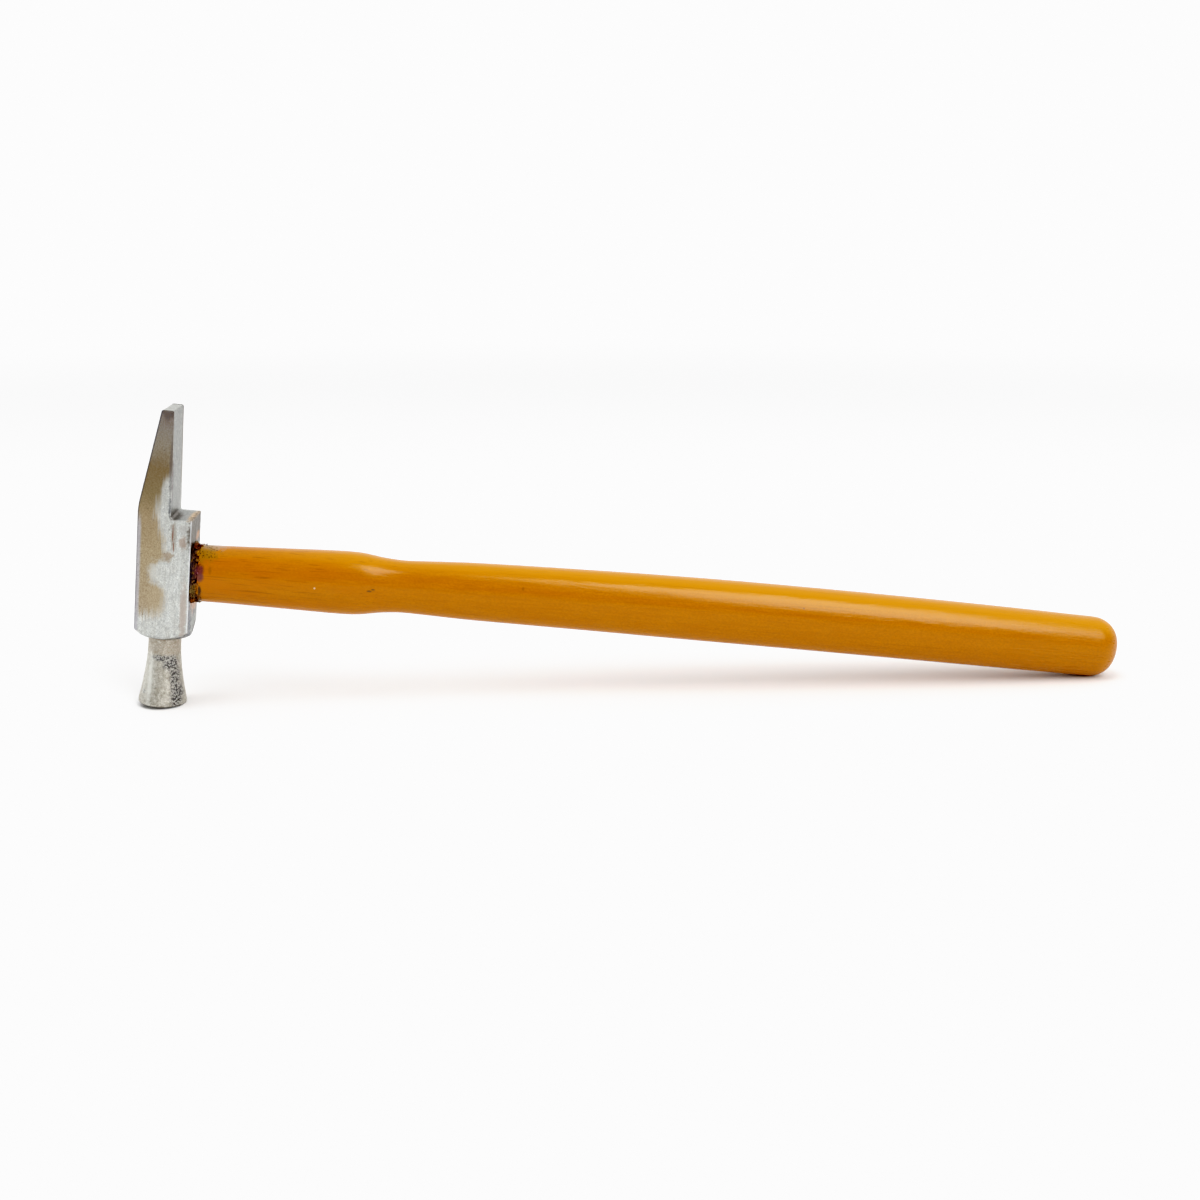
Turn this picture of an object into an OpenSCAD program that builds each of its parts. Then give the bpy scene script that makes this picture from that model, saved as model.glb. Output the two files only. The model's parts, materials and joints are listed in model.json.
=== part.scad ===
// Cross peen pin hammer: a square steel head with a wedge-shaped peen above and a round
// flared striking plug below, wedged on a slim painted wooden handle.
// Millimetres. The hammer lies as it does on a table: it stands on the rim of its striking
// face and on the underside of its butt. +X runs from the head to the butt, +Z is up,
// and the origin is on the table, under the middle of the hammer.

/* [Head] */
// Length of the head, from the striking face to the tip of the peen
head_h = 84; // [80:0.5:92]
// Thickness of the square body, from cheek to cheek
cheek_w = 14.8; // [13.5:0.1:17]
// Depth of the square body, along the handle
body_d = 14.3; // [13:0.1:17]
// Height of the ledge between the body and the peen
ledge_z = 54.5; // [51:0.5:58]
// Width of the peen at its tip
peen_w = 13.9; // [12:0.1:14.5]
// Depth of the peen at its foot, measured from the head's axis
peen_foot = 1.6; // [1.4:0.1:3]
// Height of the turned shoulder's lower edge
shoulder_z = 20; // [18:0.5:21]

/* [Striking plug] */
// Diameter of the striking face
face_d = 13.2; // [11:0.1:14]
// Diameter of the neck where it enters the head
neck_d = 8.9; // [7.5:0.1:9.5]
// Diameter of the spigot pressed into the head
spigot_d = 6.8; // [5:0.1:7.2]
// Length of the spigot
spigot_h = 8.6; // [6:0.1:9]

/* [Handle] */
// Distance from the head's axis to the end of the butt
handle_reach = 280; // [260:1:320]
// Width of the handle as a share of its height
oval = 0.8; // [0.7:0.01:0.9]
// Rise of the handle's arched centre line
arch = 1.55; // [0:0.05:2.5]
// Height of the eye's middle above the striking face
eye_z = 38.2; // [37.5:0.1:39]
// Height of the eye
eye_h = 13.4; // [12:0.1:14]
// Width of the eye
eye_w = 7.4; // [6.6:0.1:8]

/* [Hidden] */
$fn = 64;

// Head
half_d = body_d / 2;
tip_outer = -1.85;       // outer edge of the peen's tip, from the head's axis
tip_inner = 1.3;         // inner edge of the peen's tip
slant_z = 57.4;          // height at which the outer side starts to lean in
slant_r = 20;            // radius that eases the outer side into its slant
ledge_r = 0.6;           // fillet between the ledge and the peen
tip_r = 0.45;            // rounding of the tip's two long edges
shoulder_r = 6.9;        // radius of the flat round underside
shoulder_slope = 41;     // angle of the turned shoulder below the four corners
past = 1;                // how far a cutting shape runs past the surface it cuts

// Striking plug
face_r = face_d / 2;
neck_r = neck_d / 2;
rim_h = 0.8;             // straight band above the face
face_bevel = 0.25;       // broken edge round the face
flare_top = 17;          // height at which the flare has closed in to the neck
flare_power = 1.7;       // how late the flare opens
flare_steps = 24;

// Handle. Each station is a distance from the head's axis and half the height there.
gap = 1.9;               // filled gap between the head and the handle's shoulder
shoulder_x = half_d + gap;
butt_round = 8;          // length of the rounded butt
butt_x = handle_reach - butt_round;
butt_half = 9.05;
stations = [
    [shoulder_x, 8], [30, 8.5], [48, 9], [53.5, 8.8], [59.5, 7.9], [65, 7.5],
    [72, 7.75], [84, 8.25], [110, 8.7], [150, 9.2], [200, 9.35], [245, 9.25], [butt_x, butt_half]
];
centre_rise = 1;         // how much higher the centre line ends than it starts
squareness = 2.2;        // exponent of the oval section: 2 is an ellipse
handle_rings = 72;
butt_rings = 8;
ring_sides = 36;

// Tenon and wedges
tenon_proud = 0.4;       // how far the tenon stands out of the eye
tenon_end = -half_d - tenon_proud;
wood_wedge = [10.6, 2.4, 0.6, 11.4];    // depth driven, thick end, thin end, height
steel_wedge = [8.6, 1.6, 0.4, 6.2];     // depth driven, thick end, thin end, width
wedge_recess = 0.2;      // how far the wedges' ends lie below the tenon's

// Joint filler: an oval with shallow lumps round its edge
filler_half_w = 6.5;
filler_half_h = 8.1;
broad_lump = 0.035;      // height of the three broad lumps, as a share of the oval
small_lump = 0.025;      // height of the seven small lumps between them
lump_turn = 40;          // angle by which the broad lumps are turned
filler_sides = 72;

// How it lies: the plug's rim and the rounded butt are both on the table
rest_r = face_r - face_bevel;
butt_z = centre_z(butt_x);
rest_span = norm([butt_x - rest_r, butt_z]);
rest_angle = atan2(butt_z, butt_x - rest_r);
lean = settle(0, 5);
lift = rest_r * sin(lean);
x_low = -face_r * cos(lean) + face_bevel * sin(lean);
x_high = butt_x * cos(lean) + butt_z * sin(lean)
    + norm([butt_round * cos(lean), butt_half * sin(lean)]);
mid_x = (x_low + x_high) / 2;

// Tilt at which the butt's underside comes down to the level of the rim
function settle(tilt, tries) =
    tries == 0 ? tilt
    : settle(rest_angle - asin(norm([butt_round * sin(tilt), butt_half * cos(tilt)]) / rest_span), tries - 1);

// Height of the handle's centre line at a distance x from the head's axis
function centre_z(x) = eye_z + centre_rise * x / handle_reach + arch * sin(180 * x / handle_reach);

// Smooth curve through the stations
function span_of(x, i = 0) = i >= len(stations) - 2 || x < stations[i + 1][0] ? i : span_of(x, i + 1);
function slope_at(i) = i == 0 || i == len(stations) - 1 ? 0
    : (stations[i + 1][1] - stations[i - 1][1]) / (stations[i + 1][0] - stations[i - 1][0]);
function half_height(x) =
    let (i = span_of(x), run = stations[i + 1][0] - stations[i][0], t = (x - stations[i][0]) / run)
    stations[i][1] * (2 * pow(t, 3) - 3 * pow(t, 2) + 1)
    + slope_at(i) * run * (pow(t, 3) - 2 * pow(t, 2) + t)
    + stations[i + 1][1] * (3 * pow(t, 2) - 2 * pow(t, 3))
    + slope_at(i + 1) * run * (pow(t, 3) - pow(t, 2));

// One oval ring of the handle, standing at x
function power_of(v) = sign(v) * pow(abs(v), 2 / squareness);
function ring_at(x, half) = [
    for (s = [0 : ring_sides - 1]) let (a = 360 * s / ring_sides)
        [x, half * oval * power_of(cos(a)), centre_z(x) + half * power_of(sin(a))]
];

// Points of an arc in a side view, from angle a to angle b
function arc(centre, r, a, b, steps = 8) = [
    for (i = [0 : steps]) let (t = a + (b - a) * i / steps) centre + r * [cos(t), sin(t)]
];

module as_it_lies() {
    translate([-mid_x, 0, lift]) rotate([0, lean, 0]) children();
}

// Side view of the head, in depth and height
module head_side() {
    slant = atan2(half_d + tip_outer, head_h - slant_z);
    inner = atan2(peen_foot - tip_inner, head_h - ledge_z);
    ease = slant_r * tan(slant / 2);
    top_outer = (90 - slant) / 2;
    top_inner = (90 - inner) / 2;
    outline = concat(
        [[-half_d, shoulder_z]],
        arc([-half_d + slant_r, slant_z - ease], slant_r, 180, 180 - slant),
        arc([tip_outer + tip_r / tan(top_outer + slant), head_h - tip_r], tip_r, 180 - slant, 90),
        arc([tip_inner - tip_r / tan(top_inner + inner), head_h - tip_r], tip_r, 90, inner),
        arc([peen_foot + ledge_r, ledge_z + ledge_r], ledge_r, 180, 270),
        [[half_d, ledge_z], [half_d, shoulder_z]]
    );
    polygon(outline);
}

// End view of the head: the cheeks are parallel up to the ledge and draw in to the tip
module head_end() {
    polygon([
        [-cheek_w / 2, 0], [cheek_w / 2, 0], [cheek_w / 2, ledge_z],
        [peen_w / 2, head_h], [-peen_w / 2, head_h], [-cheek_w / 2, ledge_z]
    ]);
}

// Turning that takes the four corners of the square body down to a round shoulder
module turned_shoulder() {
    corner_r = norm([half_d, cheek_w / 2]) + past;
    rotate_extrude() polygon([
        [0, shoulder_z], [shoulder_r, shoulder_z],
        [corner_r, shoulder_z + (corner_r - shoulder_r) * tan(shoulder_slope)],
        [corner_r, head_h + past], [0, head_h + past]
    ]);
}

// Slot with round ends along X, centred on the eye
module eye_slot(x_from, x_to) {
    end_r = eye_w / 2;
    flat_half = eye_h / 2 - end_r;
    translate([x_from, 0, eye_z]) {
        for (side = [-1, 1]) translate([0, 0, side * flat_half])
            rotate([0, 90, 0]) cylinder(r = end_r, h = x_to - x_from);
        translate([0, -end_r, -flat_half]) cube([x_to - x_from, eye_w, 2 * flat_half]);
    }
}

// Wedge with its thick end outwards at the end of the tenon, lying flat in X and Y
module driven_wedge(size) {
    x_start = tenon_end + wedge_recess;
    linear_extrude(height = size[3], center = true) polygon([
        [x_start, -size[1] / 2], [x_start + size[0], -size[2] / 2],
        [x_start + size[0], size[2] / 2], [x_start, size[1] / 2]
    ]);
}

module wood_wedge_solid() {
    translate([0, 0, eye_z]) driven_wedge(wood_wedge);
}

module steel_wedge_solid() {
    translate([0, 0, eye_z]) rotate([90, 0, 0]) driven_wedge(steel_wedge);
}

// Pocket left open above a wedge's end, out to the end of the tenon
module wedge_mouth(size) {
    translate([tenon_end + wedge_recess / 2 - past / 2, 0, 0])
        cube([wedge_recess + past, size[1], size[3]], center = true);
}

module handle_body() {
    butt_steps = [for (i = [1 : butt_rings]) 90 * i / (butt_rings + 0.5)];
    rings = concat(
        [for (i = [0 : handle_rings]) let (x = shoulder_x + (butt_x - shoulder_x) * i / handle_rings)
            ring_at(x, half_height(x))],
        [for (a = butt_steps) ring_at(butt_x + butt_round * sin(a), butt_half * cos(a))]
    );
    last = len(rings) - 1;
    points = concat([for (ring = rings) each ring], [[handle_reach, 0, centre_z(handle_reach)]]);
    pole = len(points) - 1;
    sides = [
        for (r = [0 : last - 1], s = [0 : ring_sides - 1])
            let (here = r * ring_sides + s, next = r * ring_sides + (s + 1) % ring_sides)
                each [[here, here + ring_sides, next], [next, here + ring_sides, next + ring_sides]]
    ];
    butt_cap = [for (s = [0 : ring_sides - 1])
        [last * ring_sides + s, pole, last * ring_sides + (s + 1) % ring_sides]];
    shoulder_cap = [[for (s = [0 : ring_sides - 1]) s]];
    polyhedron(points = points, faces = concat(sides, butt_cap, shoulder_cap));
}

// Steel body with its eye, ledge and peen
module head() {
    color("silver") as_it_lies() difference() {
        intersection() {
            translate([0, cheek_w, 0]) rotate([90, 0, 0]) linear_extrude(height = 2 * cheek_w) head_side();
            translate([-body_d, 0, 0]) rotate([90, 0, 90]) linear_extrude(height = 2 * body_d) head_end();
            turned_shoulder();
        }
        eye_slot(-half_d - past, half_d + past);
        translate([0, 0, shoulder_z - past]) cylinder(d = spigot_d, h = spigot_h + past);
    }
}

// Round flared striking end, with a spigot pressed up into the head
module striking_plug() {
    flare = [for (i = [0 : flare_steps]) let (t = i / flare_steps)
        [neck_r + (face_r - neck_r) * pow(1 - t, flare_power), rim_h + (flare_top - rim_h) * t]];
    outline = concat(
        [[0, 0], [face_r - face_bevel, 0], [face_r, face_bevel]], flare,
        [[neck_r, shoulder_z], [spigot_d / 2, shoulder_z],
         [spigot_d / 2, shoulder_z + spigot_h], [0, shoulder_z + spigot_h]]
    );
    color("darkgray") as_it_lies() rotate_extrude() polygon(outline);
}

// Painted wooden handle with its tenon through the eye
module handle() {
    color("darkgoldenrod") as_it_lies() union() {
        handle_body();
        difference() {
            eye_slot(tenon_end, shoulder_x + past);
            wood_wedge_solid();
            steel_wedge_solid();
            translate([0, 0, eye_z]) wedge_mouth(wood_wedge);
            translate([0, 0, eye_z]) rotate([90, 0, 0]) wedge_mouth(steel_wedge);
        }
    }
}

// Wooden wedge that spreads the tenon across the eye
module eye_wedge() {
    color("burlywood") as_it_lies() difference() {
        wood_wedge_solid();
        steel_wedge_solid();
    }
}

// Steel wedge driven across the wooden one
module cross_wedge() {
    color("dimgray") as_it_lies() steel_wedge_solid();
}

// Dried dark filler that closes the gap between the head and the handle's shoulder
module joint_filler() {
    outline = [
        for (s = [0 : filler_sides - 1]) let (a = 360 * s / filler_sides,
            lump = 1 + broad_lump * sin(3 * a + lump_turn) + small_lump * sin(7 * a))
                [filler_half_w * lump * power_of(cos(a)), filler_half_h * lump * power_of(sin(a))]
    ];
    color("saddlebrown") as_it_lies() difference() {
        translate([half_d, 0, eye_z]) rotate([90, 0, 90]) linear_extrude(height = gap) polygon(outline);
        eye_slot(half_d - past, shoulder_x + past);
    }
}

head();
striking_plug();
handle();
eye_wedge();
cross_wedge();
joint_filler();
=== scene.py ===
import json
import math
import random

import bmesh
import bpy
from mathutils import Matrix, Vector


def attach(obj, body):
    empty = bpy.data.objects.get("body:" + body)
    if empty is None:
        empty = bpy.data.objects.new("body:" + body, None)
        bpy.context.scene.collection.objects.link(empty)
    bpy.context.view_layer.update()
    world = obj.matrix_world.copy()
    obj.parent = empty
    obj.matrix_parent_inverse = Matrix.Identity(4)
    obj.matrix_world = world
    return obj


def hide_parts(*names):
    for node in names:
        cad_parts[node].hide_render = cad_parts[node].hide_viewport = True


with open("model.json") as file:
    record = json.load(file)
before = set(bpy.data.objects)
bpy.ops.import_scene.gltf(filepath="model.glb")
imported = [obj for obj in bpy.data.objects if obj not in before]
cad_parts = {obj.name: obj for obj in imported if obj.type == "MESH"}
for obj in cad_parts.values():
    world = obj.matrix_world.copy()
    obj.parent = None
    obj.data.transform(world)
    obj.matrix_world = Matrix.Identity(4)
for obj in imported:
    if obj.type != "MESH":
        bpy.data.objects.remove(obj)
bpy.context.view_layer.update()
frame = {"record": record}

# Head
# A bar of steel, ground square. One end is drawn out to a wedge peen across the handle, with a
# ledge at its foot, and the other is turned to a round shoulder. The eye is punched through it.
body_d = 14.3
cheek_w = 14.8
shoulder_z = 20.0
ledge_z = 54.5
slant_z = 57.4
tip_z = 84.0
peen_foot = 1.6
tip_outer = -1.85
tip_inner = 1.3
tip_w = 13.9
eye_z = 38.2
eye_h = 13.4
eye_w = 7.4
spigot_r = 3.4
spigot_h = 8.6
turned_r = 6.9
turned_rise = 4.0
turned_slope = math.radians(41)
turned_round = 0.7
bend_round = 2.0
ledge_fillet = 0.6
tip_round = 0.45
edge_round = 0.32
sharp_angle = math.radians(38)
facet = 1.6
forged_swell = 5
forged_depth = 0.12
slack = 0.1

# The hammer is made upright, its striking face at the origin and its handle along +X, in
# millimetres. Each piece is then laid down where the frame has the striking face.
MM = 0.001
face = next(m for m in frame["record"]["mounts"] if m["name"] == "striking_face")
face_middle = Vector(face["pos_m"])
head_up = -Vector(face["axis"])
lean = math.atan2(head_up.x, head_up.z)
lying = Matrix.Translation(face_middle) @ Matrix.Rotation(lean, 4, "Y")


def begin(name):
    """Names the primitive that was just added and opens it for editing, with nothing selected."""
    piece = bpy.context.active_object
    piece.name = name
    piece.data.name = name
    bpy.ops.object.transform_apply(location=True, rotation=True, scale=True)
    bpy.ops.object.mode_set(mode="EDIT")
    bpy.ops.mesh.select_all(action="DESELECT")
    return piece


def pick(piece, rule, kind="FACE"):
    """Selects the faces, edges or vertices whose middle, in millimetres, the rule accepts."""
    bpy.ops.mesh.select_mode(type=kind)
    bpy.ops.mesh.select_all(action="DESELECT")
    mesh = bmesh.from_edit_mesh(piece.data)
    for part in {"FACE": mesh.faces, "EDGE": mesh.edges, "VERT": mesh.verts}[kind]:
        corners = [part] if kind == "VERT" else part.verts
        middle = sum((corner.co for corner in corners), Vector()) / len(corners)
        if rule(middle / MM):
            part.select_set(True)
    mesh.select_flush_mode()
    bmesh.update_edit_mesh(piece.data)


def only(piece):
    """Goes to object mode with this piece alone selected and active."""
    if bpy.context.object and bpy.context.object.mode != "OBJECT":
        bpy.ops.object.mode_set(mode="OBJECT")
    bpy.ops.object.select_all(action="DESELECT")
    piece.select_set(True)
    bpy.context.view_layer.objects.active = piece


def modify(piece, kind, **settings):
    """Adds a modifier with these settings and applies it."""
    modifier = piece.modifiers.new(kind.title(), kind)
    for name, value in settings.items():
        setattr(modifier, name, value)
    only(piece)
    bpy.ops.object.modifier_apply(modifier=modifier.name)


def cut(piece, cutter, operation="DIFFERENCE"):
    """Cuts one piece with another, or joins or crosses them, and throws the other away."""
    only(cutter)
    bpy.ops.object.mode_set(mode="EDIT")
    bpy.ops.mesh.select_all(action="SELECT")
    bpy.ops.mesh.normals_make_consistent(inside=False)
    modify(piece, "BOOLEAN", operation=operation, object=cutter, solver="EXACT")
    bpy.data.objects.remove(cutter)


def slice_up(piece, axis, low, high, step):
    """Cuts the faces along evenly spaced planes across an axis, for fine work on them."""
    normal = Vector((0, 0, 0))
    normal[axis] = 1
    count = round((high - low) / step)
    for i in range(1, count):
        bpy.ops.mesh.select_all(action="SELECT")
        place = normal * (low + (high - low) * i / count) * MM
        bpy.ops.mesh.bisect(plane_co=place, plane_no=normal)


def roughen(piece, size, depth, detail=2):
    """Pushes the surface in and out by a cloud pattern. Size and depth are in millimetres."""
    texture = bpy.data.textures.new(piece.name, "CLOUDS")
    texture.noise_scale = size * MM
    texture.noise_depth = detail
    modify(piece, "DISPLACE", texture=texture, strength=depth * MM, mid_level=1)


def lay_down(piece, slot, *nodes):
    """Lays a finished piece in its place, and hides the nodes of the frame that it stands for."""
    only(piece)
    piece.matrix_world = lying
    bpy.ops.object.transform_apply(location=True, rotation=True, scale=True)
    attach(piece, "root")
    if nodes:
        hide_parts(*nodes)


bpy.ops.object.select_all(action="DESELECT")
bpy.ops.mesh.primitive_cube_add(
    size=MM,
    location=(0, 0, (shoulder_z + ledge_z) / 2 * MM),
    scale=(body_d, cheek_w, ledge_z - shoulder_z),
)
head = begin("hammer_head")
bpy.ops.mesh.select_all(action="SELECT")
bpy.ops.mesh.bisect(plane_co=(peen_foot * MM, 0, 0), plane_no=(1, 0, 0))
pick(head, lambda p: p.z > ledge_z - slack and p.x < peen_foot)
for rise in (slant_z - ledge_z, tip_z - slant_z):
    bpy.ops.mesh.extrude_region_move(TRANSFORM_OT_translate={"value": (0, 0, rise * MM)})
foot_middle = (peen_foot - body_d / 2) / 2
foot_depth = peen_foot + body_d / 2
bpy.ops.transform.resize(
    value=((tip_inner - tip_outer) / foot_depth, tip_w / cheek_w, 1),
    center_override=(foot_middle * MM, 0, tip_z * MM),
)
bpy.ops.transform.translate(value=(((tip_inner + tip_outer) / 2 - foot_middle) * MM, 0, 0))
pick(head, lambda p: abs(p.z - slant_z) < slack and p.x < -body_d / 2 + slack, "EDGE")
bpy.ops.mesh.bevel(offset=bend_round * MM, segments=6, affect="EDGES")
pick(
    head,
    lambda p: abs(p.z - ledge_z) < slack and abs(p.x - peen_foot) < slack and abs(p.y) < 1,
    "EDGE",
)
bpy.ops.mesh.bevel(offset=ledge_fillet * MM, segments=4, affect="EDGES")
pick(head, lambda p: p.z > tip_z - slack and abs(p.y) < 1, "EDGE")
bpy.ops.mesh.bevel(offset=tip_round * MM, segments=4, affect="EDGES")

only(head)
bpy.ops.mesh.primitive_cone_add(
    vertices=160,
    radius1=turned_r * MM,
    radius2=(turned_r + turned_rise / math.tan(turned_slope)) * MM,
    depth=turned_rise * MM,
    location=(0, 0, (shoulder_z + turned_rise / 2) * MM),
)
turning = begin("turning")
pick(turning, lambda p: p.z > shoulder_z + turned_rise - slack)
bpy.ops.mesh.extrude_region_move(TRANSFORM_OT_translate={"value": (0, 0, tip_z * MM)})
pick(turning, lambda p: p.z < shoulder_z + 0.01, "EDGE")
bpy.ops.mesh.bevel(offset=turned_round * MM, segments=4, affect="EDGES")
cut(head, turning, "INTERSECT")


def slot_tool(name, x_from, x_to, height, width):
    """A bar along X with round ends above and below: the shape of the eye and of the tenon."""
    bpy.ops.mesh.primitive_circle_add(
        vertices=64,
        radius=width / 2 * MM,
        fill_type="NGON",
        location=(x_from * MM, 0, eye_z * MM),
        rotation=(0, math.pi / 2, 0),
    )
    tool = begin(name)
    stretch = (height - width) / 2 * MM
    for side in (-1, 1):
        pick(tool, lambda p: (p.z - eye_z) * side > 0.01, "VERT")
        bpy.ops.transform.translate(value=(0, 0, side * stretch))
    bpy.ops.mesh.select_mode(type="FACE")
    bpy.ops.mesh.select_all(action="SELECT")
    length = (x_to - x_from) * MM
    bpy.ops.mesh.extrude_region_move(TRANSFORM_OT_translate={"value": (length, 0, 0)})
    return tool


only(head)
cut(head, slot_tool("eye", -body_d, body_d, eye_h, eye_w))
bpy.ops.mesh.primitive_cylinder_add(
    vertices=64,
    radius=spigot_r * MM,
    depth=2 * spigot_h * MM,
    location=(0, 0, shoulder_z * MM),
)
pocket = begin("pocket")
cut(head, pocket)
modify(
    head,
    "BEVEL",
    width=edge_round * MM,
    segments=3,
    limit_method="ANGLE",
    angle_limit=sharp_angle,
)
bpy.ops.object.mode_set(mode="EDIT")
slice_up(head, 2, shoulder_z, tip_z, facet)
slice_up(head, 0, -body_d / 2, body_d / 2, facet)
slice_up(head, 1, -cheek_w / 2, cheek_w / 2, facet)
only(head)
roughen(head, forged_swell, forged_depth)
modify(head, "TRIANGULATE")
bpy.ops.object.shade_smooth_by_angle(angle=math.radians(35))
modify(head, "WEIGHTED_NORMAL", keep_sharp=True)


def add(tree, kind, inputs=(), **settings):
    """Adds a shader node. Inputs map a socket to a value or to another node's output."""
    node = tree.nodes.new(kind)
    for name, value in settings.items():
        setattr(node, name, value)
    for socket, value in dict(inputs).items():
        if isinstance(value, bpy.types.NodeSocket):
            tree.links.new(value, node.inputs[socket])
        else:
            node.inputs[socket].default_value = value
    return node


def sum_up(tree, operation, first, second=0.0, third=0.0):
    """One step of arithmetic on values that change over the surface."""
    inputs = {0: first, 1: second, 2: third}
    return add(tree, "ShaderNodeMath", inputs, operation=operation).outputs[0]


def step(tree, value, start, end, low=0.0, high=1.0):
    """Goes smoothly from low to high while the value goes from start to end."""
    inputs = {"Value": value, "From Min": start, "From Max": end, "To Min": low, "To Max": high}
    return add(tree, "ShaderNodeMapRange", inputs, interpolation_type="SMOOTHSTEP").outputs[0]


def share(tree, value, start, end):
    """How far the value has come from start to end, 0 to 1."""
    inputs = {"Value": value, "From Min": start, "From Max": end}
    return add(tree, "ShaderNodeMapRange", inputs).outputs[0]


def over(tree, mask, below, above, how="MIX"):
    """Lays one colour over another where the mask says."""
    inputs = {0: mask, 6: below, 7: above}
    return add(tree, "ShaderNodeMix", inputs, data_type="RGBA", blend_type=how).outputs[2]


def times(tree, first, second):
    """Multiplies two values, as when one mask limits another."""
    return sum_up(tree, "MULTIPLY", first, second)


def add_share(tree, value, amount, base):
    """Adds some of a value to a base that may itself vary."""
    return sum_up(tree, "MULTIPLY_ADD", value, amount, base)


def shade(red, green, blue):
    """A colour as a screen shows it, 0 to 255."""
    parts = [part / 255 for part in (red, green, blue)]
    return (*[p / 12.92 if p < 0.04 else ((p + 0.055) / 1.055) ** 2.4 for p in parts], 1)


def new_group(name, **inputs):
    """A node group with these inputs and one output, a mask or value that varies."""
    tree = bpy.data.node_groups.new(name, "ShaderNodeTree")
    for label, value in inputs.items():
        kind = "NodeSocketVector" if isinstance(value, tuple) else "NodeSocketFloat"
        socket = tree.interface.new_socket(name=label, in_out="INPUT", socket_type=kind)
        socket.default_value = value
    tree.interface.new_socket(name="Value", in_out="OUTPUT", socket_type="NodeSocketFloat")
    given = tree.nodes.new("NodeGroupInput").outputs
    return tree, given, tree.nodes.new("NodeGroupOutput").inputs[0]


def use(tree, group, **inputs):
    """Places a node group in a material, with values of its own."""
    return add(tree, "ShaderNodeGroup", inputs, node_tree=group).outputs[0]


grain, given, result = new_group("grain", Place=(0, 0, 0), Stretch=(1, 1, 1), Detail=2)
inputs = {0: given["Place"], 1: given["Stretch"]}
stretched = add(grain, "ShaderNodeVectorMath", inputs, operation="MULTIPLY")
inputs = {"Vector": stretched.outputs[0], "Scale": 1, "Detail": given["Detail"]}
noise = add(grain, "ShaderNodeTexNoise", inputs)
grain.links.new(step(grain, noise.outputs[0], 0.3, 0.7), result)

spot, given, result = new_group(
    "spot", Place=(0, 0, 0), Middle=(0, 0, 0), Size=(1, 1, 1), Ragged=0.5
)
inputs = {0: given["Place"], 1: given["Middle"]}
away = add(spot, "ShaderNodeVectorMath", inputs, operation="SUBTRACT")
inputs = {0: away.outputs[0], 1: given["Size"]}
away = add(spot, "ShaderNodeVectorMath", inputs, operation="DIVIDE")
away = add(spot, "ShaderNodeVectorMath", {0: away.outputs[0]}, operation="LENGTH")
inputs = {"Vector": given["Place"], "Scale": 0.8, "Detail": 5, "Roughness": 0.65}
coarse = add(spot, "ShaderNodeTexNoise", inputs)
rough_edge = sum_up(spot, "SUBTRACT", coarse.outputs[0], 0.5)
rough_edge = sum_up(spot, "MULTIPLY_ADD", rough_edge, given["Ragged"], away.outputs["Value"])
spot.links.new(step(spot, rough_edge, 1.3, 0.5), result)

pits, given, result = new_group("pits", Place=(0, 0, 0), Spacing=1.0, Amount=0.3)
inputs = {0: given["Place"], "Scale": sum_up(pits, "DIVIDE", 1, given["Spacing"])}
closer = add(pits, "ShaderNodeVectorMath", inputs, operation="SCALE")
bent = add(pits, "ShaderNodeTexNoise", {"Vector": closer.outputs[0], "Scale": 1.7, "Detail": 2})
inputs = {0: bent.outputs["Color"], 1: (0.9, 0.9, 0.9), 2: closer.outputs[0]}
closer = add(pits, "ShaderNodeVectorMath", inputs, operation="MULTIPLY_ADD")
cells = add(pits, "ShaderNodeTexVoronoi", {"Vector": closer.outputs[0], "Scale": 1})
inside = sum_up(pits, "SUBTRACT", given["Amount"], cells.outputs["Distance"])
pits.links.new(step(pits, inside, -0.06, 0.12), result)

standing = lying.inverted()


def new_material(name):
    """A material, its nodes, its shader, and the place on the upright hammer in millimetres."""
    material = bpy.data.materials.new(name)
    material.use_nodes = True
    tree = material.node_tree
    tree.nodes.clear()
    shader = add(tree, "ShaderNodeBsdfPrincipled")
    add(tree, "ShaderNodeOutputMaterial", {"Surface": shader.outputs["BSDF"]})
    where = add(tree, "ShaderNodeTexCoord")
    upright = add(
        tree,
        "ShaderNodeMapping",
        {
            "Vector": where.outputs["Object"],
            "Location": standing.translation / MM,
            "Rotation": standing.to_euler(),
            "Scale": (1 / MM, 1 / MM, 1 / MM),
        },
    )
    return material, tree, shader, upright.outputs[0]


def finish_material(tree, shader, color, roughness, height, depth):
    """Joins up the colour, the roughness, and a height map whose depth is in millimetres."""
    tree.links.new(color, shader.inputs["Base Color"])
    tree.links.new(roughness, shader.inputs["Roughness"])
    bump = add(tree, "ShaderNodeBump", {"Height": height, "Strength": 1, "Distance": depth * MM})
    tree.links.new(bump.outputs[0], shader.inputs["Normal"])


silver = shade(234, 237, 233)
silver_worn = shade(204, 204, 197)
steel, tree, shader, place = new_material("ground_steel")
parts = add(tree, "ShaderNodeSeparateXYZ", {0: place})
x, y, z = parts.outputs
cheek = step(tree, sum_up(tree, "ABSOLUTE", y), 6.1, 6.6)
inner = sum_up(tree, "SUBTRACT", step(tree, x, 0.9, 1.25), cheek)
blotch = use(tree, grain, Place=place, Stretch=(0.5, 0.5, 0.22), Detail=3)
streak = use(tree, grain, Place=place, Stretch=(2.3, 2.3, 0.12), Detail=3)
speck = use(tree, grain, Place=place, Stretch=(3.3, 3.3, 2.3), Detail=5)
mottle = use(tree, grain, Place=place, Stretch=(1.3, 1.3, 0.9), Detail=6)
far_side = step(tree, y, -1, 1)

# How far a point stands in from the outer side of the head, which leans in along the peen
outline = add_share(tree, share(tree, z, slant_z, tip_z), tip_outer + body_d / 2, -body_d / 2)
outline = sum_up(tree, "SUBTRACT", x, outline)
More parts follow.
